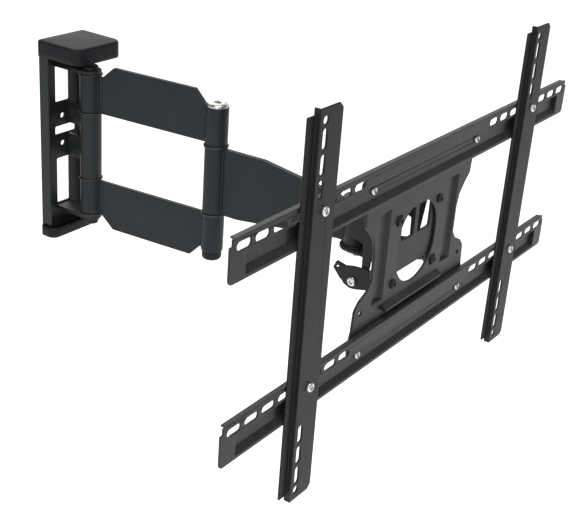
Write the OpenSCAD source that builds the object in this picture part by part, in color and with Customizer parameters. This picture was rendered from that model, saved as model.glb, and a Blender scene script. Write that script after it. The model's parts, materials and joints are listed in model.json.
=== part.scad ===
// Full-motion television wall mount.
// The origin is the centre of the wall plate's back face, +Z is up and +Y points into the wall.
// The two arms stand nearly straight out, and the television frame is parallel to the wall.

/* [Wall plate] */
// Width of the wall plate
plate_w = 74; // [60:1:100]
// Height of the wall plate
plate_h = 256; // [240:1:300]
// Depth of the wall plate's side flanges
plate_depth = 16; // [10:1:24]
// Distance from the wall to the wall pivot
pivot_out = 54; // [48:1:70]
// Depth of the hood over the wall pivot
hood_depth = 72; // [70:1:90]

/* [Arms] */
// Length of the wall arm, pivot to pivot
arm1_len = 192; // [150:1:260]
// Angle of the wall arm from straight out, to the right
arm1_angle = 6; // [-20:1:20]
// Length of the head arm, pivot to pivot
arm2_len = 200; // [150:1:260]
// Angle of the head arm from straight out, to the right
arm2_angle = 4; // [-20:1:20]
// Height of each flat strap of the wall arm
strap_h = 64; // [50:1:80]
// Thickness of the straps
strap_t = 6; // [4:0.5:8]
// Height of the head arm at the elbow
arm2_h = 86; // [80:1:88]
// Thickness of the head arm's plate
arm2_t = 8; // [5:0.5:10]

/* [Pivots] */
// Outside diameter of the pivot tubes
tube_d = 28; // [24:1:32]
// Diameter of the pivot pins
pin_d = 12; // [10:1:14]
// Distance from the head pivot to the front of the rails
head_out = 86; // [84:1:100]

/* [Television frame] */
// Length of the two rails
rail_len = 700; // [600:10:800]
// Height of a rail
rail_h = 44; // [40:1:50]
// Height between the bolts of the upper and the lower rail
rail_gap = 190; // [180:1:220]
// Distance between the two bolts that hold a rail
rail_bolt_gap = 224; // [200:1:240]
// Number of slots at each end of a rail
rail_slots = 8; // [4:1:8]
// Distance between two slots of a rail
rail_pitch = 26.5; // [24:0.5:28]
// Height of the upright brackets
bracket_h = 424; // [420:2:440]
// Place of the left bracket's bolts along the rail
left_bracket_x = -220; // [-230:1:-218]
// Place of the right bracket's bolts along the rail
right_bracket_x = 230; // [218:1:230]

/* [Hidden] */
$fn = 64;
pin_fit = 0.08;
sheet = 3;

// heights of the wall arm: the straps, their eyes and the lugs beside the eyes
strap_z0 = arm2_h / 2 + 3;
strap_z1 = strap_z0 + strap_h;
eye_h = 48;
eye_z1 = strap_z0 + eye_h;
lug_t = 5;
washer_t = 2;
washer_r = 15.5;
bore_r = pin_d / 2 + pin_fit;
tube_r = tube_d / 2;
bush_r = 9;

// pivots, from the wall out to the head
wall_pivot = [0, -pivot_out];
elbow_pivot = wall_pivot + arm1_len * [sin(arm1_angle), -cos(arm1_angle)];
head_pivot = elbow_pivot + arm2_len * [sin(arm2_angle), -cos(arm2_angle)];

// the television frame: its centre line and the front face of its rails
tv_x = head_pivot[0];
tv_y = head_pivot[1] - head_out;

// head arm at the head, and the clevis that holds it
knuckle_h = 52;
clevis_t = 4;
clevis_z = knuckle_h / 2 + 1.5;

// tilt: axle, lock bolt and travel, as depths behind the rails' front and heights
tilt_axle = [34, 40];
lock_bolt = [51, -43];
tilt_up = 5;
tilt_down = 15;
lock_arm = lock_bolt - tilt_axle;
lock_r = norm(lock_arm);
lock_angle = atan2(lock_arm[1], lock_arm[0]);
ear_x = 57;
cheek_x = ear_x - sheet - 0.5;
bridge_depth = 56;
small_bolt_r = 3;
small_hole_r = 3.2;

// centre plate, its opening, and the level slots round the opening's centre
centre_depth = 7;
centre_back = centre_depth + sheet;
opening_w = 84;
opening_h = 96;
opening_z = 2;
level_bolt = [44, 38];
level_r = norm(level_bolt);
level_angle = atan2(level_bolt[1], level_bolt[0]);
level_travel = 3;
groove_front = [[63, 6], [68, 11], [82, 11], [87, 6]];
groove_back = [[61.8, 9], [66.8, 14], [83.2, 14], [88.2, 9]];
lobe_x = 126;
lobe_z = 112;
waist_x = 90;

// rails: web, slots and the pressed channel that stiffens them
rail_t = 2;
rail_top = 24;
flange_depth = centre_depth;
slot_z = 14.5;
slot_l = 20;
slot_w = 8.5;
slot_margin = 20;
bead_front = [[-1, 8.96], [5, 4.4], [5, -9.5], [-1, -17.3]];
bead_back = [[1, 9.95], [7, 5.39], [7, -10.2], [1, -18]];

// brackets: measured from the line of their bolts
bracket_t = 2.5;
bracket_depth = 8;
lip_x = -30;
fold_x = -16;
bracket_edge = 18;
hole_x = -9;
hole_gap = 400;
bracket_slots = [182, 157, 132];

// ---- frames ----

// the wall arm runs along -Y from the wall pivot
module arm1_frame() {
    translate([wall_pivot[0], wall_pivot[1], 0]) rotate([0, 0, arm1_angle]) children();
}

// the head arm runs along -Y from the elbow
module arm2_frame() {
    translate([elbow_pivot[0], elbow_pivot[1], 0]) rotate([0, 0, arm2_angle]) children();
}

module elbow_frame() {
    translate([elbow_pivot[0], elbow_pivot[1], 0]) children();
}

module head_frame() {
    translate([head_pivot[0], head_pivot[1], 0]) children();
}

// +Y is depth behind the front of the rails
module tv_frame() {
    translate([tv_x, tv_y, 0]) children();
}

// a bracket, with its bolts on x = 0
module bracket_frame(x) {
    tv_frame() translate([x, 0, 0]) children();
}

// ---- shared shapes ----

module ring(outer, inner, h) {
    linear_extrude(h) difference() {
        circle(outer);
        circle(inner);
    }
}

// a slot of length l and width w, along X and centred
module slot_2d(l, w) {
    square([l - w, w], center = true);
    for (s = [-1, 1])
        translate([s * (l - w) / 2, 0]) circle(w / 2);
}

// a curved slot: mean radius r, width w, from angle a0 to a1, with a slightly narrower round end
module arc_2d(r, w, a0, a1) {
    far = 2 * r;
    intersection() {
        difference() {
            circle(r + w / 2);
            circle(r - w / 2);
        }
        polygon([[0, 0], far * [cos(a0), sin(a0)], far * [cos(a1), sin(a1)]]);
    }
    for (a = [a0, a1])
        translate(r * [cos(a), sin(a)]) circle(w / 2 - 0.25);
}

// a rectangle with round corners, centred
module round_rect(w, h, r) {
    square([w - 2 * r, h], center = true);
    square([w, h - 2 * r], center = true);
    for (sx = [-1, 1], sy = [-1, 1])
        translate([sx * (w / 2 - r), sy * (h / 2 - r)]) circle(r);
}

// lays a sheet drawn in X and Z on the plane at depth y, growing towards +Y
module upright(y, t) {
    translate([0, y + t, 0]) rotate([90, 0, 0]) linear_extrude(t) children();
}

// lays a sheet drawn as depth and height on the plane at x, growing towards +X
module sideways(x, t) {
    translate([x, 0, 0]) rotate([90, 0, 90]) linear_extrude(t) children();
}

module hex_nut(across, h, bore) {
    linear_extrude(h) difference() {
        circle(across / sqrt(3), $fn = 6);
        circle(bore);
    }
}

// a small bolt along +Y: a round head before y = 0, a shank of length l behind it
module small_bolt(l, head_r = 6.5, head_h = 3.5, shank_r = small_bolt_r) {
    rotate([-90, 0, 0]) {
        translate([0, 0, -head_h]) difference() {
            cylinder(r = head_r, h = head_h);
            translate([0, 0, -1]) cylinder(r = 2.6, h = 3, $fn = 6);
        }
        cylinder(r = shank_r, h = l);
    }
}

module small_nut(bore = small_bolt_r) {
    rotate([-90, 0, 0]) hex_nut(10, 5, bore);
}

// ---- wall side ----

module wall_plate() {
    color("#34383b") difference() {
        union() {
            upright(-sheet, sheet) round_rect(plate_w, plate_h, 5);
            for (s = [-1, 1])
                translate([s * (plate_w - sheet) / 2, -plate_depth / 2, 0])
                    cube([sheet, plate_depth, plate_h - 24], center = true);
        }
        upright(-sheet - 1, sheet + 2) {
            translate([0, 71]) round_rect(24, 48, 1.5);
            translate([0, -62.5]) round_rect(22, 63, 1.5);
            translate([5, 8]) round_rect(36, 11, 1.5);
            for (z = [27, -11])
                translate([0, z]) circle(3.5);
        }
    }
}

// one lug of the pivot bracket: a tongue from the plate to the pin
module lug(z0) {
    translate([0, 0, z0]) linear_extrude(lug_t) difference() {
        union() {
            translate([-tube_r, -pivot_out]) square([tube_d, pivot_out - sheet]);
            translate([0, -pivot_out]) circle(tube_r);
        }
        translate([0, -pivot_out]) circle(bore_r);
    }
}

// a tube between the straps on a web that stands on the plate, and a lug above and below
module pivot_bracket() {
    inner = strap_z0 - washer_t;
    outer = eye_z1 + washer_t;
    color("#2f3336") {
        for (z0 = [outer, -outer - lug_t])
            lug(z0);
        difference() {
            union() {
                translate([0, -pivot_out, -inner]) cylinder(r = tube_r, h = 2 * inner);
                translate([tube_r - 6, -pivot_out, -30]) cube([5, pivot_out - sheet, 74]);
            }
            translate([0, -pivot_out, -plate_h / 2]) cylinder(r = bore_r, h = plate_h);
            translate([0, -pivot_out + tube_r + 6, 1]) cube([plate_w, pivot_out, 15]);
        }
    }
}

// the moulded hood and foot are boxes with a round front, hollow inside
module cover_shell(h, depth, wall) {
    module outline(inset) {
        r = min(14, depth / 2);
        w = plate_w + 6 - 2 * inset;
        d = depth - inset;
        translate([-w / 2, -d + r]) square([w, d - r]);
        translate([-w / 2 + r, -d]) square([w - 2 * r, r]);
        for (s = [-1, 1])
            translate([s * (w / 2 - r), -d + r]) circle(r);
    }
    difference() {
        linear_extrude(h) outline(0);
        translate([0, 0, -1]) linear_extrude(h - wall + 1) outline(wall);
    }
}

module top_cover() {
    color("#3c4043") translate([0, 0, plate_h / 2 - 14]) cover_shell(23, hood_depth, 2);
}

module bottom_cover() {
    color("#3c4043") translate([0, 0, -plate_h / 2 + 9]) mirror([0, 0, 1]) cover_shell(16, 24, 2);
}

// the long pin through the lugs, with a flat head
module wall_pin() {
    top = eye_z1 + washer_t + lug_t;
    color("silver") translate([wall_pivot[0], wall_pivot[1], 0]) {
        translate([0, 0, -top - 9]) cylinder(r = pin_d / 2, h = 2 * top + 9);
        translate([0, 0, top]) cylinder(r = 10, h = 5);
    }
}

module wall_pin_nut() {
    top = eye_z1 + washer_t + lug_t;
    color("silver") translate([wall_pivot[0], wall_pivot[1], -top - 8]) hex_nut(19, 8, pin_d / 2);
}

module wall_washers() {
    color("#e6e3da") translate([wall_pivot[0], wall_pivot[1], 0])
        for (z = [strap_z0 - washer_t, eye_z1, -strap_z0, -eye_z1 - washer_t])
            translate([0, 0, z]) ring(washer_r, bore_r, washer_t);
}

// ---- wall arm ----

// the strap's side view: full height between the eyes, cut down to the eyes at both ends
function strap_side() = [
    [0, strap_z0], [arm1_len, strap_z0], [arm1_len, eye_z1], [arm1_len - tube_r - 3, eye_z1],
    [arm1_len - tube_r - 18, strap_z1], [tube_r + 24, strap_z1], [tube_r + 6, eye_z1], [0, eye_z1]
];

// a flat strap with a tube at each end
module strap() {
    arm1_frame() difference() {
        union() {
            translate([-strap_t / 2, 0, 0]) rotate([90, 0, 90]) mirror([1, 0])
                linear_extrude(strap_t) polygon(strap_side());
            for (y = [0, -arm1_len])
                translate([0, y, strap_z0]) cylinder(r = tube_r, h = eye_h);
        }
        for (y = [0, -arm1_len])
            translate([0, y, 0]) cylinder(r = bore_r, h = strap_z1 + 10);
    }
}

module upper_strap() {
    color("#3a4448") strap();
}

module lower_strap() {
    color("#3a4448") mirror([0, 0, 1]) strap();
}

module elbow_bolt() {
    color("silver") elbow_frame() {
        translate([0, 0, -eye_z1 - 8]) cylinder(r = pin_d / 2, h = 2 * eye_z1 + 8);
        translate([0, 0, eye_z1]) difference() {
            cylinder(r = 13, h = 5);
            translate([0, 0, 2]) cylinder(r = 5, h = 4, $fn = 6);
        }
    }
}

module elbow_nut() {
    color("silver") elbow_frame() translate([0, 0, -eye_z1 - 7]) hex_nut(17, 7, pin_d / 2);
}

// the domed cap over the elbow nut
module elbow_cap() {
    color("#26292b") elbow_frame() translate([0, 0, -eye_z1]) rotate_extrude() difference() {
        union() {
            translate([0, -8]) square([12.5, 8]);
            translate([0, -12.5]) square([8, 6]);
            translate([8, -8]) circle(4.5);
        }
        translate([0, -10.2]) square([10.4, 10.2]);
        translate([-20, -30]) square([20, 60]);
    }
}

module elbow_washers() {
    color("#1c1d1e") elbow_frame()
        for (z = [arm2_h / 2, -strap_z0])
            translate([0, 0, z]) ring(washer_r, bore_r, strap_z0 - arm2_h / 2);
}

// ---- head arm ----

// the plate narrows from the elbow to the head
module head_arm() {
    half = arm2_h / 2;
    tip = knuckle_h / 2;
    color("#2c3033") arm2_frame() difference() {
        union() {
            translate([-arm2_t / 2, 0, 0]) rotate([90, 0, 90]) mirror([1, 0]) linear_extrude(arm2_t)
                polygon([
                    [0, -half], [38, -half], [arm2_len - 23, -tip], [arm2_len, -tip],
                    [arm2_len, tip], [arm2_len - 23, tip], [70, half], [0, half]
                ]);
            translate([0, 0, -half]) cylinder(r = tube_r, h = arm2_h);
            translate([0, -arm2_len, -tip]) cylinder(r = tube_r, h = knuckle_h);
        }
        translate([0, 0, -half - 1]) cylinder(r = bush_r, h = arm2_h + 2);
        translate([0, -arm2_len, -half]) cylinder(r = bush_r, h = arm2_h);
    }
}

// two plain bushes pressed into one end of the arm
module bush_pair(h) {
    for (s = [-1, 1])
        translate([0, 0, s * (h - 20) / 2 - 10]) ring(bush_r, bore_r, 20);
}

module elbow_bushes() {
    color("#e6e3da") arm2_frame() bush_pair(arm2_h);
}

module head_bushes() {
    color("#e6e3da") arm2_frame() translate([0, -arm2_len, 0]) bush_pair(knuckle_h);
}

// ---- head ----

// a cheek, drawn as depth and height: the axle's eye above and the lock bolt's curved slot below
module cheek_2d() {
    difference() {
        union() {
            translate(tilt_axle) circle(11);
            polygon([
                tilt_axle + [-8, -3], tilt_axle + [3, 8], [bridge_depth + 6, 48], [bridge_depth + 6, 9],
                [44, 3], [43, -27], [60, -30], [76, -27], [80, -36], [70, -47], [50, -54], [41, -52], [36, -43]
            ]);
        }
        translate(tilt_axle) circle(small_bolt_r + 1 + pin_fit);
        translate(tilt_axle)
            arc_2d(lock_r, 2 * small_hole_r, lock_angle - tilt_up - 1, lock_angle + tilt_down + 1);
    }
}

// a clevis on the head pin, a bridge in front of it and a cheek at each side for the tilt bolts
module swivel_bracket() {
    back = head_out - bridge_depth;
    color("#2a2d30") {
        head_frame() for (s = [0, 1])
            mirror([0, 0, s]) translate([0, 0, clevis_z]) linear_extrude(clevis_t) difference() {
                union() {
                    circle(18);
                    translate([-18, -back + 2]) square([36, back - 2]);
                }
                circle(bore_r);
            }
        tv_frame() {
            upright(bridge_depth, 4) {
                translate([-cheek_x, 12]) square([2 * cheek_x, 38]);
                translate([-24, -38]) square([48, 60]);
            }
            for (x = [-cheek_x, cheek_x - sheet])
                sideways(x, sheet) cheek_2d();
        }
    }
}

module head_bolt() {
    top = clevis_z + clevis_t;
    color("silver") head_frame() {
        translate([0, 0, -top - 9]) cylinder(r = pin_d / 2, h = 2 * top + 9);
        translate([0, 0, top]) cylinder(r = 10, h = 5);
    }
}

module head_nut() {
    color("silver") head_frame() translate([0, 0, -clevis_z - clevis_t - 8]) hex_nut(17, 8, pin_d / 2);
}

module head_washers() {
    color("#1c1d1e") head_frame()
        for (z = [knuckle_h / 2, -clevis_z])
            translate([0, 0, z]) ring(washer_r, bore_r, clevis_z - knuckle_h / 2);
}

// ---- tilt bracket ----

// an ear, drawn as depth and height: a strip with an upper and a lower lug
module ear_2d() {
    difference() {
        union() {
            translate([centre_back, -44]) square([13, 98]);
            translate([centre_back + 1, 30]) square([tilt_axle[0] - centre_back - 1, 20]);
            translate(tilt_axle) circle(11);
            polygon([
                [centre_back + 1, -22], [52, -25], [64, -28], [73, -33], [72, -39], [62, -50], [54, -53], [46, -52],
                [centre_back + 1, -43]
            ]);
        }
        translate(tilt_axle) circle(small_bolt_r + 1);
        translate(lock_bolt) circle(small_bolt_r);
    }
}

// the base plate behind the centre plate: two windows, and a step between its two feet
module tilt_base_2d() {
    difference() {
        polygon([
            [-ear_x, 70], [ear_x, 70], [ear_x, -44], [38, -44], [32, -27], [-32, -27], [-38, -44], [-ear_x, -44]
        ]);
        for (s = [-1, 1])
            translate([s * 17.5, 27]) round_rect(27, 34, 3);
        translate([0, opening_z]) for (sx = [-1, 1], sz = [-1, 1])
            translate([sx * level_bolt[0], sz * level_bolt[1]]) circle(small_bolt_r);
    }
}

module tilt_bracket() {
    color("#2f3336") tv_frame() {
        upright(centre_back, sheet) tilt_base_2d();
        for (x = [-ear_x, ear_x - sheet])
            sideways(x, sheet) ear_2d();
    }
}

// places its child on both sides of the head, as an outer side that faces +X or -X
module both_sides() {
    tv_frame() for (s = [0, 1])
        mirror([s, 0, 0]) children();
}

// a bolt along X, its head outside the ear
module cross_bolt(at, r) {
    translate([ear_x, at[0], at[1]]) rotate([0, 0, 90]) small_bolt(2 * sheet + 7, 5.5, 3.5, r);
}

module cross_nut(at, r) {
    translate([cheek_x - sheet, at[0], at[1]]) rotate([0, 0, 90]) small_nut(r);
}

module tilt_axles() {
    color("silver") both_sides() cross_bolt(tilt_axle, small_bolt_r + 1);
}

module tilt_axle_nuts() {
    color("silver") both_sides() cross_nut(tilt_axle, small_bolt_r + 1);
}

module tilt_lock_bolts() {
    color("silver") both_sides() cross_bolt(lock_bolt, small_bolt_r);
}

module tilt_lock_nuts() {
    color("silver") both_sides() cross_nut(lock_bolt, small_bolt_r);
}

module level_places() {
    tv_frame() for (sx = [-1, 1], sz = [-1, 1])
        translate([sx * level_bolt[0], 0, opening_z + sz * level_bolt[1]]) children();
}

module level_bolts() {
    color("silver") level_places() translate([0, centre_depth, 0]) small_bolt(2 * sheet + 7, 5.5, 3);
}

module level_nuts() {
    color("silver") level_places() translate([0, centre_back + sheet, 0]) small_nut();
}

// ---- television frame ----

// half of the centre plate's outline: two lobes behind the rails and a waist between them
function centre_half() = [
    [0, lobe_z], [lobe_x - 8, lobe_z], [lobe_x, lobe_z - 8], [lobe_x, 84], [115, 74], [113, 53], [103, 43],
    [94, 32], [waist_x, 16], [waist_x, -16], [98, -26], [112, -33], [120, -42], [122, -66], [lobe_x, -78],
    [lobe_x, -lobe_z + 8], [lobe_x - 8, -lobe_z], [0, -lobe_z]
];

module centre_plate() {
    color("#303437") tv_frame() {
        difference() {
            upright(centre_depth, sheet) difference() {
                union() {
                    polygon(centre_half());
                    mirror([1, 0]) polygon(centre_half());
                }
                translate([0, opening_z]) rotate(90) slot_2d(opening_h, opening_w);
                translate([0, opening_z]) for (a = [level_angle, 180 - level_angle, 180 + level_angle, -level_angle])
                    arc_2d(level_r, 2 * small_hole_r, a - level_travel - 1.2, a + level_travel + 1.2);
                for (sx = [-1, 1], sz = [-1, 1])
                    translate([sx * rail_bolt_gap / 2, sz * rail_gap / 2]) circle(small_bolt_r);
                for (s = [-1, 1])
                    translate([s * 108, -48]) circle(3);
            }
            for (s = [0, 1])
                mirror([s, 0, 0]) translate([0, 0, -47]) linear_extrude(106) polygon(groove_front);
        }
        for (s = [0, 1])
            mirror([s, 0, 0]) translate([0, 0, -50]) difference() {
                linear_extrude(112) polygon(groove_back);
                translate([0, 0, 3]) linear_extrude(106) polygon(groove_front);
            }
        sideways(-64, 124) polygon([[centre_depth + 1, -52], [1, -58.5], [1, -61], [centre_depth + 1, -61]]);
    }
}

// a rail, with its own bolts on z = 0
module rail() {
    half = rail_len / 2;
    bottom = rail_top - rail_h;
    bead_l = rail_len - 44;
    difference() {
        union() {
            upright(0, rail_t) difference() {
                translate([0, (rail_top + bottom) / 2]) round_rect(rail_len, rail_h, 6);
                translate([-half, rail_top - 7]) square([4, 8]);
                translate([half - 4, rail_top - 7]) square([4, 8]);
            }
            translate([-half + 8, 0, rail_top - rail_t]) cube([rail_len - 16, flange_depth, rail_t]);
            sideways(-bead_l / 2, bead_l) polygon(bead_back);
        }
        sideways(-bead_l / 2 + rail_t, bead_l - 2 * rail_t) polygon(bead_front);
        upright(-1, flange_depth + 2) {
            for (s = [-1, 1], i = [0:rail_slots - 1])
                translate([s * (half - slot_margin - i * rail_pitch), slot_z]) slot_2d(slot_l, slot_w);
            for (s = [-1, 1])
                translate([s * rail_bolt_gap / 2, 0]) circle(small_bolt_r);
        }
    }
}

module upper_rail() {
    color("#33383b") tv_frame() translate([0, 0, rail_gap / 2]) rail();
}

module lower_rail() {
    color("#33383b") tv_frame() translate([0, 0, -rail_gap / 2]) rail();
}

module rail_bolt_places() {
    tv_frame() for (sx = [-1, 1], sz = [-1, 1])
        translate([sx * rail_bolt_gap / 2, 0, sz * rail_gap / 2]) children();
}

module rail_bolts() {
    color("silver") rail_bolt_places() translate([0, centre_depth - rail_t, 0]) small_bolt(12, 4.6);
}

module rail_nuts() {
    color("silver") rail_bolt_places() translate([0, centre_back, 0]) small_nut();
}

// ---- upright brackets ----

// the cross-section of a bracket: a lip on the rail, a raised web and a flange back to the rail
function bracket_section() = [
    [lip_x, 0], [fold_x, 0], [fold_x, bracket_t - bracket_depth],
    [bracket_edge - bracket_t, bracket_t - bracket_depth], [bracket_edge - bracket_t, 0], [bracket_edge, 0],
    [bracket_edge, -bracket_depth], [fold_x - bracket_t, -bracket_depth], [fold_x - bracket_t, -bracket_t],
    [lip_x, -bracket_t]
];

module bracket() {
    half = bracket_h / 2;
    difference() {
        translate([0, 0, -half]) linear_extrude(bracket_h) polygon(bracket_section());
        upright(-bracket_depth - 1, bracket_depth + 2) {
            for (s = [-1, 1])
                translate([hole_x, s * hole_gap / 2]) circle(4);
            for (z = bracket_slots, s = [-1, 1])
                translate([hole_x, s * z]) rotate(90) slot_2d(20, 7);
            for (s = [-1, 1])
                translate([0, s * rail_gap / 2 + slot_z]) circle(small_bolt_r);
            for (s = [0, 1])
                mirror([0, s]) {
                    translate([lip_x - 1, half - 7]) square([fold_x - bracket_t - lip_x + 1, 8]);
                    translate([bracket_edge, half]) rotate(45) square([7, 7], center = true);
                }
        }
    }
}

module bracket_bolt_places(x) {
    bracket_frame(x) for (s = [-1, 1])
        translate([0, 0, s * rail_gap / 2 + slot_z]) children();
}

module bracket_bolts(x) {
    bracket_bolt_places(x) translate([0, -bracket_depth, 0]) small_bolt(bracket_depth + 9, 5.2, 3.5);
}

module bracket_nuts(x) {
    bracket_bolt_places(x) translate([0, rail_t, 0]) small_nut();
}

module left_bracket() {
    color("#2e3235") bracket_frame(left_bracket_x) bracket();
}

module left_bracket_bolts() {
    color("silver") bracket_bolts(left_bracket_x);
}

module left_bracket_nuts() {
    color("silver") bracket_nuts(left_bracket_x);
}

module right_bracket() {
    color("#2e3235") bracket_frame(right_bracket_x) bracket();
}

module right_bracket_bolts() {
    color("silver") bracket_bolts(right_bracket_x);
}

module right_bracket_nuts() {
    color("silver") bracket_nuts(right_bracket_x);
}

wall_plate();
pivot_bracket();
top_cover();
bottom_cover();
wall_pin();
wall_pin_nut();
wall_washers();
upper_strap();
lower_strap();
elbow_bolt();
elbow_nut();
elbow_cap();
elbow_washers();
head_arm();
elbow_bushes();
head_bushes();
swivel_bracket();
head_bolt();
head_nut();
head_washers();
tilt_bracket();
tilt_axles();
tilt_axle_nuts();
tilt_lock_bolts();
tilt_lock_nuts();
level_bolts();
level_nuts();
centre_plate();
upper_rail();
lower_rail();
rail_bolts();
rail_nuts();
left_bracket();
left_bracket_bolts();
left_bracket_nuts();
right_bracket();
right_bracket_bolts();
right_bracket_nuts();
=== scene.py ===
"""Full-motion wall mount for a flat television, in painted steel.

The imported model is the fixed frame. Sheet-steel parts are its solids with their cut edges eased and a
powder-coat finish. Bolts, nuts, washers, covers and weld beads are surfaces of their own.
"""
import json
import math

import bmesh
import bpy
import numpy as np
from mathutils import Matrix, Vector

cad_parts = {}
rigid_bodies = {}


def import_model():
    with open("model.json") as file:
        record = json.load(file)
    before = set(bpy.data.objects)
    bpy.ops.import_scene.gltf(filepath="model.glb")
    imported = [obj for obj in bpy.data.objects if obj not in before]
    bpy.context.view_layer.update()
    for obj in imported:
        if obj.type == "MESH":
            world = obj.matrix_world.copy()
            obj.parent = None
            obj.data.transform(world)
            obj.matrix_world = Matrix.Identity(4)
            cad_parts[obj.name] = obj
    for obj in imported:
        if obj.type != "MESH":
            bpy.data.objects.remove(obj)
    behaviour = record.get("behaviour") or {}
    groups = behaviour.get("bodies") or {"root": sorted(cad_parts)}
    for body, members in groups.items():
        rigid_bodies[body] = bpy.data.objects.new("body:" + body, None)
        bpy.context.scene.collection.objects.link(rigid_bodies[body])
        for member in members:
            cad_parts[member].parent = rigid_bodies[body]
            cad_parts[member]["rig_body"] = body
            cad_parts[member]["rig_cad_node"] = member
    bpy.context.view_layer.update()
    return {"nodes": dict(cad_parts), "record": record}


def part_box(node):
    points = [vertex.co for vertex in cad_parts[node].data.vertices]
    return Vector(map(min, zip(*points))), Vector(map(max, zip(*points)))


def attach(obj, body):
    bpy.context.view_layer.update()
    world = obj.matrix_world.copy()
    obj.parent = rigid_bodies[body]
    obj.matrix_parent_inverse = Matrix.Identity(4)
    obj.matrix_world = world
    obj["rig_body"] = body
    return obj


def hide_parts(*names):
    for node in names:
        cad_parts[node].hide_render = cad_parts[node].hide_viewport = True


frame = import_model()
NODES = frame["nodes"]
BODY_OF = {n: body for body, nodes in frame["record"]["behaviour"]["bodies"].items() for n in nodes}
MM = 0.001
UP = np.array([0.0, 0.0, 1.0])


# ---- shader maths ----


class Wire:
    """A socket that can be added, subtracted, multiplied and divided in Python expressions."""

    def __init__(self, finish, socket):
        self.finish = finish
        self.socket = socket

    def _maths(self, operation, first, second):
        return self.finish.node("ShaderNodeMath", {"operation": operation}, [first, second])

    def __add__(self, other):
        return self._maths("ADD", self, other)

    def __radd__(self, other):
        return self._maths("ADD", other, self)

    def __sub__(self, other):
        return self._maths("SUBTRACT", self, other)

    def __rsub__(self, other):
        return self._maths("SUBTRACT", other, self)

    def __mul__(self, other):
        return self._maths("MULTIPLY", self, other)

    def __rmul__(self, other):
        return self._maths("MULTIPLY", other, self)

    def __truediv__(self, other):
        return self._maths("DIVIDE", self, other)

    def above(self, low, high):
        """0 below low, 1 above high and a smooth ramp between."""
        return self.finish.node(
            "ShaderNodeMapRange",
            {"interpolation_type": "SMOOTHSTEP", "clamp": True},
            {"Value": self, "From Min": low, "From Max": high},
        )


class Finish:
    """A material whose nodes are placed by one method."""

    def __init__(self, name):
        self.material = bpy.data.materials.new(name)
        self.material.use_nodes = True
        self.tree = self.material.node_tree
        self.tree.nodes.clear()
        self.place = self.node("ShaderNodeTexCoord", {}, {}, "Object")

    def node(self, kind, settings, sockets, output=0):
        """Adds a node, sets its settings, then links or fills its sockets, and gives one output."""
        made = self.tree.nodes.new(kind)
        for key, value in settings.items():
            setattr(made, key, value)
        named = sockets.items() if isinstance(sockets, dict) else enumerate(sockets)
        for key, value in named:
            if isinstance(value, Wire):
                self.tree.links.new(value.socket, made.inputs[key])
            else:
                made.inputs[key].default_value = value
        return Wire(self, made.outputs[output])

    def noise(self, scale, detail=2.0, rough=0.5, stretch=(1, 1, 1), shift=(0, 0, 0)):
        """Soft random values about 0.5, with features about 1 / scale metres across."""
        where = self.node(
            "ShaderNodeMapping", {}, {"Vector": self.place, "Scale": stretch, "Location": shift}
        )
        return self.node(
            "ShaderNodeTexNoise", {}, {"Vector": where, "Scale": scale, "Detail": detail, "Roughness": rough}
        )

    def mix(self, amount, first, second):
        """The first colour where amount is 0 and the second where it is 1."""
        return self.node(
            "ShaderNodeMix",
            {"data_type": "RGBA", "clamp_factor": True},
            {0: amount, 6: first, 7: second},
            2,
        )

    def facing_up(self):
        """1 where the surface faces up, 0 where it is upright or faces down."""
        normal = self.node("ShaderNodeNewGeometry", {}, {}, "Normal")
        height = self.node("ShaderNodeSeparateXYZ", {}, [normal], "Z")
        return height.above(0.35, 0.95)

    def bump(self, height, distance, strength=1.0):
        return self.node(
            "ShaderNodeBump", {}, {"Height": height, "Distance": distance, "Strength": strength}, "Normal"
        )

    def shade(self, **sockets):
        """Ends the tree in one Principled shader with these sockets."""
        named = {key.replace("_", " "): value for key, value in sockets.items()}
        shader = self.node("ShaderNodeBsdfPrincipled", {}, named)
        end = self.tree.nodes.new("ShaderNodeOutputMaterial")
        self.tree.links.new(shader.socket, end.inputs["Surface"])
        return self.material


def powder_coat(name, dark, light, grain=1500.0, sheen=0.40):
    """Satin powder coat: orange-peel bump, cloudy tone, rare bright grains, and a lighter tone on up-facing
    faces that is partly dust and partly a painted highlight of light from above.
    """
    f = Finish(name)
    cloud = f.noise(26.0, 4.0, 0.6)
    peel = f.noise(grain, 2.0, 0.55)
    grains = f.noise(grain * 1.3, 1.0, 0.4, shift=(3, 1, 2)).above(0.66, 0.74)
    # partly dust, partly painted highlight: up-facing faces are marked here to be lightened as if lit from
    # above
    dust_and_top_highlight = f.facing_up() * f.noise(420.0, 3.0, 0.7, shift=(1, 5, 2)).above(0.35, 0.75)
    rub = f.noise(60.0, 5.0, 0.7, (1, 1, 0.25), (4, 4, 4)).above(0.62, 0.72)
    tone = f.mix(cloud.above(0.3, 0.75), (*dark, 1), (*light, 1))
    tone = f.mix(grains * 0.35, tone, (0.16, 0.17, 0.18, 1))
    # painted highlight and dust: the up-facing mark pulls the tone towards pale grey
    tone = f.mix(dust_and_top_highlight * 0.30, tone, (0.22, 0.22, 0.22, 1))
    return f.shade(
        Base_Color=tone,
        Roughness=sheen + 0.10 * cloud + 0.12 * dust_and_top_highlight - 0.08 * rub,
        Specular_IOR_Level=0.26,
        Normal=f.bump(peel + 0.3 * cloud, 0.00025, 0.45),
    )


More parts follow.
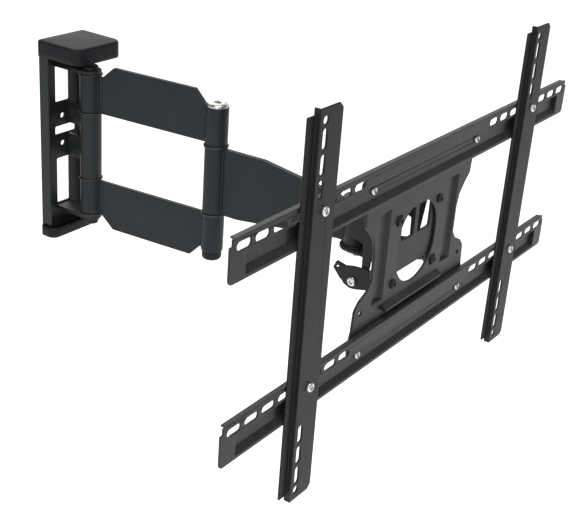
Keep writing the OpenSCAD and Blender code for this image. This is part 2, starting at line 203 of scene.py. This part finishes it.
def moulded_plastic(name, dark, light):
    """Textured moulding: an eroded grain, matt, and slightly polished where hands reach."""
    f = Finish(name)
    grain = f.noise(2200.0, 3.0, 0.65)
    cloud = f.noise(40.0, 3.0)
    polish = f.noise(18.0, 2.0, shift=(2, 2, 2)).above(0.55, 0.8)
    # partly dust, partly painted highlight: up-facing faces are lightened towards grey as if lit from above
    dust_and_top_highlight = f.facing_up() * f.noise(350.0, 3.0, 0.7).above(0.4, 0.8)
    tone = f.mix(cloud.above(0.3, 0.7), (*dark, 1), (*light, 1))
    return f.shade(
        Base_Color=f.mix(dust_and_top_highlight * 0.1, tone, (0.2, 0.2, 0.2, 1)),
        Roughness=0.50 + 0.12 * cloud - 0.12 * polish,
        Specular_IOR_Level=0.20,
        Normal=f.bump(grain, 0.0003, 0.5),
    )


def bright_zinc(name):
    """Zinc plate: a grey metal with faint blue and straw clouds, drawn grain and small dull spots."""
    f = Finish(name)
    cloud = f.noise(160.0, 3.0, 0.6)
    drawn = f.noise(900.0, 2.0, 0.6, (1, 1, 8))
    spot = f.noise(700.0, 2.0, 0.5, shift=(5, 1, 1)).above(0.6, 0.7)
    tone = f.mix(cloud.above(0.35, 0.65), (0.60, 0.62, 0.66, 1), (0.66, 0.64, 0.58, 1))
    return f.shade(
        Base_Color=f.mix(spot * 0.4, tone, (0.38, 0.38, 0.38, 1)),
        Metallic=1.0,
        Roughness=0.24 + 0.14 * drawn + 0.12 * spot,
        Normal=f.bump(drawn, 0.0001, 0.3),
    )


def nylon(name, tone_a, tone_b):
    """Dull bearing plastic with faint turning marks and a greasy patch or two."""
    f = Finish(name)
    cloud = f.noise(90.0, 3.0)
    ring = f.noise(500.0, 1.0, 0.5, (1, 1, 20))
    grease = f.noise(30.0, 2.0, shift=(1, 2, 3)).above(0.6, 0.7)
    return f.shade(
        Base_Color=f.mix(cloud, (*tone_a, 1), (*tone_b, 1)),
        Roughness=0.48 - 0.18 * grease,
        Normal=f.bump(ring, 0.0001, 0.3),
    )


PLATE_COAT = powder_coat("wall_plate_coat", (0.020, 0.023, 0.025), (0.028, 0.031, 0.033))
ARM_COAT = powder_coat("arm_coat", (0.013, 0.017, 0.020), (0.020, 0.025, 0.029))
HEAD_COAT = powder_coat("head_coat", (0.009, 0.010, 0.011), (0.014, 0.015, 0.016), sheen=0.36)
RAIL_COAT = powder_coat("rail_coat", (0.017, 0.019, 0.020), (0.027, 0.029, 0.030), grain=1100.0, sheen=0.34)
UPRIGHT_COAT = powder_coat("upright_coat", (0.010, 0.011, 0.011), (0.015, 0.016, 0.017), sheen=0.45)
COVER_PLASTIC = moulded_plastic("cover_plastic", (0.007, 0.008, 0.010), (0.011, 0.013, 0.015))
CAP_PLASTIC = moulded_plastic("cap_plastic", (0.012, 0.013, 0.014), (0.020, 0.021, 0.022))
ZINC = bright_zinc("zinc_plate")
DARK_SCREW = powder_coat("dark_screw_coat", (0.010, 0.011, 0.012), (0.016, 0.017, 0.018), sheen=0.4)
PALE_NYLON = nylon("pale_nylon", (0.58, 0.56, 0.50), (0.66, 0.64, 0.58))
BLACK_NYLON = nylon("black_nylon", (0.014, 0.014, 0.015), (0.024, 0.024, 0.025))


# ---- surfaces ----


def put_mesh(name, points, faces, material, smooth=True):
    """A mesh object at the origin from an array of points in metres and lists of corner numbers."""
    mesh = bpy.data.meshes.new(name)
    mesh.from_pydata(points.reshape(-1, 3).tolist(), [], faces)
    mesh.polygons.foreach_set("use_smooth", np.full(len(mesh.polygons), smooth))
    mesh.materials.append(material)
    mesh.update()
    piece = bpy.data.objects.new(name, mesh)
    bpy.context.scene.collection.objects.link(piece)
    return piece


def grid_faces(rows, columns, close_rows, close_columns, start=0):
    """Corner numbers of the quads between neighbouring points of a rows by columns grid."""
    i = np.arange(rows if close_rows else rows - 1)[:, None]
    j = np.arange(columns if close_columns else columns - 1)[None, :]
    i2, j2 = (i + 1) % rows, (j + 1) % columns
    quads = np.stack([i * columns + j, i * columns + j2, i2 * columns + j2, i2 * columns + j], -1)
    return (quads.reshape(-1, 4) + start).tolist()


def tidy(piece, angle=35.0):
    """Merges doubles, closes poles, turns faces outwards and marks edges sharper than the angle."""
    shape = bmesh.new()
    shape.from_mesh(piece.data)
    bmesh.ops.remove_doubles(shape, verts=shape.verts, dist=2e-6)
    bmesh.ops.dissolve_degenerate(shape, edges=shape.edges, dist=1e-6)
    bmesh.ops.recalc_face_normals(shape, faces=shape.faces)
    for edge in shape.edges:
        edge.smooth = edge.calc_face_angle(0.0) < math.radians(angle)
    shape.to_mesh(piece.data)
    shape.free()
    return piece


def six_sided(turn):
    """Radius of a regular hexagon whose corners are at 1: cos(30) / cos(angle from the nearest flat)."""
    return math.cos(math.pi / 6) / np.cos(np.mod(turn, math.pi / 3) - math.pi / 6)


def turned(rows, at, along, steps=48, ring=False):
    """A section carried round an axis.

    A row is (radius, height, hex) in mm. The point at turn a is at + along * height plus radius times the
    unit circle, and the circle is blended towards a hexagon by the row's last number.
    """
    rows = np.array([row if len(row) == 3 else (*row, 0.0) for row in rows], float)
    turn = np.linspace(0, 2 * math.pi, steps, endpoint=False)
    along = np.array(along, float) / np.linalg.norm(along)
    side = np.cross(along, UP if abs(along[2]) < 0.9 else [1.0, 0.0, 0.0])
    side /= np.linalg.norm(side)
    other = np.cross(along, side)
    round_or_hex = 1 + rows[:, 2:3] * (six_sided(turn)[None, :] - 1)
    radius = rows[:, 0:1] * round_or_hex
    circle = np.cos(turn)[:, None] * side + np.sin(turn)[:, None] * other
    points = np.array(at) + radius[..., None] * circle[None] + rows[:, 1][:, None, None] * along
    return points * MM, grid_faces(len(rows), steps, ring, True)


def gather(name, parts, material, angle=35.0):
    """Several (points, faces) surfaces as one piece."""
    points, faces, start = [], [], 0
    for some, corners in parts:
        some = some.reshape(-1, 3)
        faces += [[c + start for c in face] for face in corners]
        points.append(some)
        start += len(some)
    return tidy(put_mesh(name, np.concatenate(points), faces, material), angle)


def stands_for(piece, node):
    """The piece rides with the node's body and is shown in its place."""
    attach(piece, BODY_OF[node])
    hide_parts(node)
    return piece


def eased(node, material, edge=0.5, whole_faces=True):
    """The node's own solid with its cut edges rounded over by a small radius, as tumbled steel has.

    edge is that radius in mm. whole_faces joins the triangles of each flat face before the edges are rounded.
    """
    piece = NODES[node].copy()
    piece.data = NODES[node].data.copy()
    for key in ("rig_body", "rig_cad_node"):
        if key in piece:
            del piece[key]
    piece.name = piece.data.name = node + "_steel"
    piece.parent = None
    bpy.context.scene.collection.objects.link(piece)
    shape = bmesh.new()
    shape.from_mesh(piece.data)
    bmesh.ops.remove_doubles(shape, verts=shape.verts, dist=2e-6)
    if whole_faces:
        bmesh.ops.dissolve_limit(
            shape, angle_limit=math.radians(0.3), verts=shape.verts, edges=shape.edges, delimit={"NORMAL"}
        )
    for face in shape.faces:
        face.smooth = True
    shape.to_mesh(piece.data)
    shape.free()
    piece.data.materials.clear()
    piece.data.materials.append(material)
    bevel = piece.modifiers.new("eased_edge", "BEVEL")
    bevel.width = edge * MM
    bevel.segments = 2
    bevel.limit_method = "ANGLE"
    bevel.angle_limit = math.radians(32)
    bevel.use_clamp_overlap = False
    normals = piece.modifiers.new("flat_faces", "WEIGHTED_NORMAL")
    normals.weight = 60
    return stands_for(piece, node)


# ---- where things are, in mm ----


def middle(node):
    low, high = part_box(node)
    return (np.array(low) + np.array(high)) / 2 / MM


def span(node):
    low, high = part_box(node)
    return np.array(low) / MM, np.array(high) / MM


ELBOW = middle("elbow_bolt")[:2]
HEAD = middle("head_bolt")[:2]
WALL = middle("wall_pin")[:2]
TV_X = middle("centre_plate")[0]


def two_sides(node, inset=0.0):
    """The four corners (x, z) of a node's box as seen from the front, moved in by inset."""
    low, high = span(node)
    return [(x, z) for x in (low[0] + inset, high[0] - inset) for z in (low[2] + inset, high[2] - inset)]


# ---- painted sheet steel ----

eased("wall_plate", PLATE_COAT, 0.7)
eased("pivot_bracket", PLATE_COAT, 0.6)
for strap in ("upper_strap", "lower_strap"):
    eased(strap, ARM_COAT, 0.9)
eased("head_arm", ARM_COAT, 1.0)
eased("swivel_bracket", HEAD_COAT, 0.6)
eased("tilt_bracket", HEAD_COAT, 0.6)
eased("centre_plate", RAIL_COAT, 0.6)
for rail in ("upper_rail", "lower_rail"):
    eased(rail, RAIL_COAT, 0.6, whole_faces=False)
for upright in ("left_bracket", "right_bracket"):
    eased(upright, UPRIGHT_COAT, 0.8)


def weld_bead(start, end, radius, seed):
    """A bead along a straight joint.

    The section is a circle whose radius swells and shrinks in ripples along the line, radius * (1 + 0.12 cos
    of the distance * 2.4 + 0.05 of a slower wave), and comes to nothing at both ends.
    """
    start, end = np.array(start, float), np.array(end, float)
    length = np.linalg.norm(end - start)
    steps = int(length * 3)
    along = np.linspace(0, length, steps)
    ripple = 1 + 0.12 * np.cos(along * 2.4 + seed) + 0.05 * np.cos(along * 0.31 + 2 * seed)
    taper = np.clip(np.minimum(along, length - along) / radius, 0, 1) ** 0.5
    size = radius * ripple * taper
    turn = np.linspace(0, 2 * math.pi, 12, endpoint=False)
    direction = (end - start) / length
    side = np.cross(direction, [0.31, 0.87, 0.11])
    side /= np.linalg.norm(side)
    other = np.cross(direction, side)
    circle = np.cos(turn)[:, None] * side + np.sin(turn)[:, None] * other
    middle_line = start + along[:, None] * direction
    points = middle_line[:, None, :] + size[:, None, None] * circle[None]
    return points * MM, grid_faces(steps, 12, False, True)


def arm_beads(name, pivot, toward, half_thick, tube, spans, body):
    """Beads on both sides of a strap where it meets its tube, for each height span."""
    pivot, toward = np.array(pivot, float), np.array(toward, float)
    toward = toward / np.linalg.norm(toward)
    aside = np.array([toward[1], -toward[0]])
    reach = math.sqrt(tube**2 - half_thick**2) + 0.4
    parts = []
    for k, (low, high) in enumerate(spans):
        for s in (-1, 1):
            foot = pivot + toward * reach + aside * s * (half_thick + 0.5)
            parts.append(weld_bead([*foot, low], [*foot, high], 1.5, k + s))
    piece = gather(name, parts, ARM_COAT, 60)
    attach(piece, body)
    return piece


TUBE_R = 14.0
STRAP_HALF, HEAD_ARM_HALF = 3.0, 4.0
strap_low = span("upper_strap")[0][2]
strap_heights = [(strap_low + 2, strap_low + 46), (-strap_low - 46, -strap_low - 2)]
arm_line = ELBOW - WALL
head_line = HEAD - ELBOW
arm_beads("wall_end_weld", WALL, arm_line, STRAP_HALF, TUBE_R, strap_heights, "wall_arm")
arm_beads("elbow_end_weld", ELBOW, -arm_line, STRAP_HALF, TUBE_R, strap_heights, "wall_arm")
arm_beads(
    "head_arm_elbow_weld", ELBOW, head_line, HEAD_ARM_HALF, TUBE_R, [(-41, 41)], "tv_arm"
)
arm_beads(
    "head_arm_head_weld", HEAD, -head_line, HEAD_ARM_HALF, TUBE_R, [(-24, 24)], "tv_arm"
)


# ---- moulded covers ----


def moulded_cover(name, node, top, crown):
    """A cover with a round front, an eased rim and a low crown.

    The outline is a rectangle with round corners, written as arcs about four centres. Each ring of the
    surface is that outline moved in and up: straight up the skirt, a quarter circle over the rim, then
    inwards while the height follows crown * (1 - (distance from the rim) squared) to the middle.
    """
    low, high = span(node)
    centre = (low + high) / 2
    half_w, half_d = (high[0] - low[0]) / 2, (high[1] - low[1]) / 2
    rim, back = 3.5, 4.0
    front = min(14.0, half_d)
    quarter = np.linspace(0, math.pi / 2, 13)
    corners = [
        (1, -1, front, -math.pi / 2), (1, 1, back, 0),
        (-1, 1, back, math.pi / 2), (-1, -1, front, math.pi),
    ]
    centres, rays, radii = [], [], []
    for sx, sy, r, first in corners:
        centres.append(np.tile([sx * (half_w - r), sy * (half_d - r)], (13, 1)))
        rays.append(np.stack([np.cos(quarter + first), np.sin(quarter + first)], -1))
        radii.append(np.full(13, r))
    centres, rays, radii = np.concatenate(centres), np.concatenate(rays), np.concatenate(radii)
    wall = high[2] - low[2]
    flat = wall - crown
    over = np.linspace(0, math.pi / 2, 7)
    skirt = [(0.0, h) for h in np.linspace(0, flat - rim, 4)]
    turn = [(rim * (1 - math.cos(a)), flat - rim + rim * math.sin(a)) for a in over[1:]]
    rings = []
    for inset, height in skirt + turn:
        edge = centres + rays * (radii - inset)[:, None]
        rings.append(np.column_stack([edge, np.full(len(edge), height)]))
    edge = rings[-1][:, :2]
    for t in np.linspace(0, 1, 12)[1:]:
        rings.append(np.column_stack([edge * (1 - t), np.full(len(edge), flat + crown * (1 - (1 - t) ** 2))]))
    points = np.array(rings)
    points[..., 2] = low[2] + points[..., 2] if top else high[2] - points[..., 2]
    points[..., :2] += centre[:2]
    piece = put_mesh(name, points * MM, grid_faces(len(rings), len(edge), False, True), COVER_PLASTIC)
    tidy(piece, 50)
    shell = piece.modifiers.new("wall", "SOLIDIFY")
    shell.thickness = 2.0 * MM
    shell.offset = -1
    return stands_for(piece, node)


moulded_cover("wall_hood", "top_cover", True, 2.0)
moulded_cover("wall_foot", "bottom_cover", False, 1.2)


# ---- bolts, pins, nuts and washers ----


def socket_head(shank, length, head, height, socket):
    """Section of a round-headed bolt with a hexagon socket, from its tip to the bottom of the socket."""
    return [
        (0, -length), (shank - 0.6, -length), (shank, -length + 0.8), (shank, 0), (head - 0.3, 0),
        (head, 0.3), (head, height * 0.42), (head * 0.96, height * 0.66), (head * 0.86, height * 0.86),
        (head * 0.72, height * 0.97), (socket * 1.25, height), (socket * 1.08, height - 0.15),
        (socket, height - 0.5, 1), (socket, height * 0.45, 1), (socket * 0.5, height * 0.40),
        (0, height * 0.36),
    ]


def hexagon_nut(across, height, bore):
    """Closed section of a nut: a hexagon with both ends chamfered to a circle, and a countersunk bore."""
    corner = across / math.sqrt(3)
    flat = across / 2
    return [
        (bore, 0.4), (bore + 0.5, 0), (flat * 0.97, 0), (corner * 0.985, height * 0.13, 1),
        (corner, height * 0.2, 1), (corner, height * 0.8, 1), (corner * 0.985, height * 0.87, 1),
        (flat * 0.97, height), (bore + 0.5, height), (bore, height - 0.4),
    ]


def washer(inner, outer, height, ease=0.4):
    """Closed section of a flat ring with eased outer edges."""
    return [
        (inner, 0), (outer - ease, 0), (outer, ease),
        (outer, height - ease), (outer - ease, height), (inner, height),
    ]


def many(name, node, sections, places, along, material, ring=False, steps=48):
    """The same turned section at every place, as one piece that stands for the node."""
    parts = []
    for place in places:
        direction = along(place) if callable(along) else along
        parts.append(turned(sections, place, direction, steps, ring))
    return stands_for(gather(name, parts, material), node)


FORWARD = (0.0, -1.0, 0.0)
BACK = (0.0, 1.0, 0.0)

# feet of the rings and bushes on the three pivots, then heights from the solids' own boxes
WALL_RING_FEET = (44.0, 94.0, -46.0, -96.0)
ELBOW_RING_FEET = (43.0, -46.0)
ELBOW_BUSH_FEET = (23.0, -43.0)
HEAD_RING_FEET = (26.0, -27.5)
HEAD_BUSH_FEET = (6.0, -26.0)
PIN_R = 6.0
RING_BORE, RING_R = 6.1, 15.5
BUSH_R, BUSH_LENGTH = 9.0, 20.0
pin_low, pin_high = span("wall_pin")
pin_top = pin_high[2] - 5
many(
    "wall_pin_turned", "wall_pin",
    [(0, pin_low[2] - pin_top), (5, pin_low[2] - pin_top), (6, pin_low[2] - pin_top + 1), (6, 0), (9.6, 0),
     (10, 0.5), (10, 3.8), (9.2, 4.8), (8, 5), (0, 4.7)],
    [(*WALL, pin_top)], (0, 0, 1), DARK_SCREW,
)
nut_low = span("wall_pin_nut")[0]
many(
    "wall_nut_hex", "wall_pin_nut", hexagon_nut(19, 8, PIN_R), [(*WALL, nut_low[2])],
    (0, 0, 1), DARK_SCREW, True,
)
many(
    "wall_bearing_rings", "wall_washers", washer(RING_BORE, RING_R, 2.0),
    [(*WALL, z) for z in WALL_RING_FEET],
    (0, 0, 1), BLACK_NYLON, True, 64,
)

elbow_low, elbow_high = span("elbow_bolt")
elbow_top = elbow_high[2] - 5
elbow_rows = socket_head(PIN_R, elbow_top - elbow_low[2], 13.0, 5.0, 5.0)
many("elbow_bolt_turned", "elbow_bolt", elbow_rows, [(*ELBOW, elbow_top)], (0, 0, 1), ZINC, steps=72)
elbow_nut_low = span("elbow_nut")[0][2]
many("elbow_nut_hex", "elbow_nut", hexagon_nut(17, 7, PIN_R), [(*ELBOW, elbow_nut_low)], (0, 0, 1), ZINC, True)
cap_high = span("elbow_cap")[1]
dome = np.linspace(0, math.pi / 2, 9)
cap_rows = (
    [(10.4, 0), (12.1, 0), (12.5, 0.4), (12.5, 8)]
    + [(8 + 4.5 * math.cos(a), 8 + 4.5 * math.sin(a)) for a in dome[1:]]
    + [(4, 12.5), (0, 12.5), (0, 10.2), (10.4, 10.2)]
)
many("elbow_cap_domed", "elbow_cap", cap_rows, [(*ELBOW, cap_high[2])], (0, 0, -1), CAP_PLASTIC, True, 64)
many(
    "elbow_bearing_rings", "elbow_washers", washer(RING_BORE, RING_R, 3.0),
    [(*ELBOW, z) for z in ELBOW_RING_FEET],
    (0, 0, 1), BLACK_NYLON, True, 64,
)
many(
    "elbow_bush_sleeves", "elbow_bushes", washer(RING_BORE, BUSH_R, BUSH_LENGTH),
    [(*ELBOW, z) for z in ELBOW_BUSH_FEET],
    (0, 0, 1), PALE_NYLON, True,
)
many(
    "head_bush_sleeves", "head_bushes", washer(RING_BORE, BUSH_R, BUSH_LENGTH),
    [(*HEAD, z) for z in HEAD_BUSH_FEET],
    (0, 0, 1), PALE_NYLON, True,
)
head_low, head_high = span("head_bolt")
head_top = head_high[2] - 5
head_rows = socket_head(PIN_R, head_top - head_low[2], 10.0, 5.0, 4.0)
many("head_bolt_turned", "head_bolt", head_rows, [(*HEAD, head_top)], (0, 0, 1), ZINC)
head_nut_low = span("head_nut")[0][2]
many("head_nut_hex", "head_nut", hexagon_nut(17, 8, PIN_R), [(*HEAD, head_nut_low)], (0, 0, 1), ZINC, True)
many(
    "head_bearing_rings", "head_washers", washer(RING_BORE, RING_R, 1.5, 0.3),
    [(*HEAD, z) for z in HEAD_RING_FEET],
    (0, 0, 1), BLACK_NYLON, True, 64,
)


def outward(place):
    """Along X, away from the middle of the head."""
    return (1.0 if place[0] > TV_X else -1.0, 0.0, 0.0)


def inward(place):
    return tuple(-c for c in outward(place))


SIDE_HEAD_HEIGHT = 3.5


def side_bolts(name, node, shank):
    """Bolts along X with their heads outside the ears."""
    low, high = span(node)
    at = middle(node)
    places = [(low[0] + SIDE_HEAD_HEIGHT, at[1], at[2]), (high[0] - SIDE_HEAD_HEIGHT, at[1], at[2])]
    section = socket_head(shank, 13.0, 5.5, SIDE_HEAD_HEIGHT, 2.6)
    return many(name, node, section, places, outward, ZINC)


def side_nuts(name, node, bore):
    low, high = span(node)
    at = middle(node)
    places = [(low[0], at[1], at[2]), (high[0], at[1], at[2])]
    return many(name, node, hexagon_nut(10, 5, bore), places, inward, ZINC, True)


side_bolts("tilt_axle_bolts", "tilt_axles", 4.0)
side_bolts("tilt_clamp_bolts", "tilt_lock_bolts", 3.0)
side_nuts("tilt_axle_hex_nuts", "tilt_axle_nuts", 4.0)
side_nuts("tilt_clamp_hex_nuts", "tilt_lock_nuts", 3.0)


def front_bolts(name, node, head, height, length, places, material=ZINC):
    """Bolts along Y with their heads in front, at places (x, z)."""
    at_depth = span(node)[0][1] + height
    section = socket_head(3.0, length, head, height, 2.4)
    return many(name, node, section, [(x, at_depth, z) for x, z in places], FORWARD, material)


def back_nuts(name, node, places, material=ZINC):
    """Nuts along Y behind the sheet, at places (x, z)."""
    at_depth = span(node)[0][1]
    return many(
        name, node, hexagon_nut(10, 5, 3.0), [(x, at_depth, z) for x, z in places], BACK, material, True
    )


LEVEL_HEAD, RAIL_HEAD, UPRIGHT_HEAD = 5.5, 4.6, 5.2
level_places = two_sides("level_bolts", LEVEL_HEAD)
front_bolts("level_socket_bolts", "level_bolts", LEVEL_HEAD, 3.0, 13.0, level_places, DARK_SCREW)
back_nuts("level_hex_nuts", "level_nuts", level_places, DARK_SCREW)
rail_places = two_sides("rail_bolts", RAIL_HEAD)
front_bolts("rail_socket_bolts", "rail_bolts", RAIL_HEAD, 3.5, 12.0, rail_places)
back_nuts("rail_hex_nuts", "rail_nuts", rail_places)
for hand in ("left", "right"):
    low, high = span(hand + "_bracket_bolts")
    column = (low[0] + high[0]) / 2
    column_places = [(column, low[2] + UPRIGHT_HEAD), (column, high[2] - UPRIGHT_HEAD)]
    front_bolts(hand + "_upright_bolts", hand + "_bracket_bolts", UPRIGHT_HEAD, 3.5, 17.0, column_places)
    back_nuts(hand + "_upright_nuts", hand + "_bracket_nuts", column_places)


# ---- floor, light and camera ----


FLOOR_DROP = 0.62


def stage_sheet():
    """A pale sheet that lies flat and sweeps up behind.

    Its heights are 0, then a quarter circle, then a straight rise. It is seen, but doesn't light the part.
    """
    across = np.linspace(-9, 9, 9)
    bend = np.linspace(0, math.pi / 2, 24)
    run = np.concatenate([[-9.0], 3.0 + 3.0 * np.sin(bend), [6.0]])
    rise = np.concatenate([[0.0], 3.0 - 3.0 * np.cos(bend), [8.0]])
    turn = math.radians(-48)
    x, y = np.meshgrid(across, run, indexing="xy")
    z = np.repeat(rise[:, None], len(across), 1)
    cos, sin = math.cos(turn), math.sin(turn)
    points = np.stack([x * cos - y * sin, x * sin + y * cos, z - FLOOR_DROP], -1)
    f = Finish("pale_sheet")
    pale = f.noise(3.0, 2.0).above(0.2, 0.8)
    material = f.shade(
        Base_Color=f.mix(pale, (0.86, 0.86, 0.86, 1), (0.9, 0.9, 0.9, 1)),
        Roughness=0.9,
        Specular_IOR_Level=0.1,
        Emission_Color=(1, 1, 1, 1),
        Emission_Strength=0.84,
    )
    sheet = put_mesh("pale_floor", points, grid_faces(len(run), len(across), False, False), material)
    sheet.visible_diffuse = False
    return sheet


stage_sheet()


def soft_light(name, place, size, power, tone=(1, 1, 1)):
    """A square lamp that faces the middle of the mount."""
    lamp = bpy.data.lights.new(name, "AREA")
    lamp.shape = "SQUARE"
    lamp.size = size
    lamp.energy = power
    lamp.color = tone
    holder = bpy.data.objects.new(name, lamp)
    holder.location = place
    aim = Vector((0.0, -0.35, 0.0)) - Vector(place)
    holder.rotation_euler = aim.to_track_quat("-Z", "Y").to_euler()
    bpy.context.scene.collection.objects.link(holder)


soft_light("overhead_lamp", (-0.5, -0.9, 2.2), 1.6, 28)
soft_light("left_lamp", (-2.2, -1.4, 0.9), 1.4, 20)
soft_light("front_lamp", (0.8, -2.6, 1.0), 1.6, 0.8)
soft_light("back_lamp", (1.4, 1.6, 1.6), 1.5, 12)

world = bpy.data.worlds.new("studio")
world.use_nodes = True
world.node_tree.nodes["Background"].inputs["Color"].default_value = (1, 1, 1, 1)
world.node_tree.nodes["Background"].inputs["Strength"].default_value = 0.22
bpy.context.scene.world = world
bpy.context.scene.view_settings.view_transform = "Standard"


def aimed_camera(place, azimuth, elevation, roll, long_side, shift):
    """A camera whose axes come from its azimuth, elevation and roll.

    long_side is the width of the sensor over the length of the lens.
    """
    a, e, r = (math.radians(v) for v in (azimuth, elevation, roll))
    back = Vector((math.sin(a) * math.cos(e), -math.cos(a) * math.cos(e), math.sin(e)))
    right = Vector(UP).cross(back).normalized()
    up = back.cross(right)
    right, up = math.cos(r) * right + math.sin(r) * up, -math.sin(r) * right + math.cos(r) * up
    lens = bpy.data.cameras.new("camera")
    lens.sensor_width = 36.0
    lens.lens = 36.0 / long_side
    lens.shift_x, lens.shift_y = shift
    camera = bpy.data.objects.new("camera", lens)
    camera.matrix_world = Matrix((
        (right.x, up.x, back.x, place[0]),
        (right.y, up.y, back.y, place[1]),
        (right.z, up.z, back.z, place[2]),
        (0, 0, 0, 1),
    ))
    bpy.context.scene.collection.objects.link(camera)
    bpy.context.scene.camera = camera


aimed_camera(
    place=(-1.0211, -1.0686, 0.5249), azimuth=-56.05, elevation=24.30, roll=4.30,
    long_side=0.502374, shift=(-0.004, -0.039),
)

bpy.context.view_layer.update()
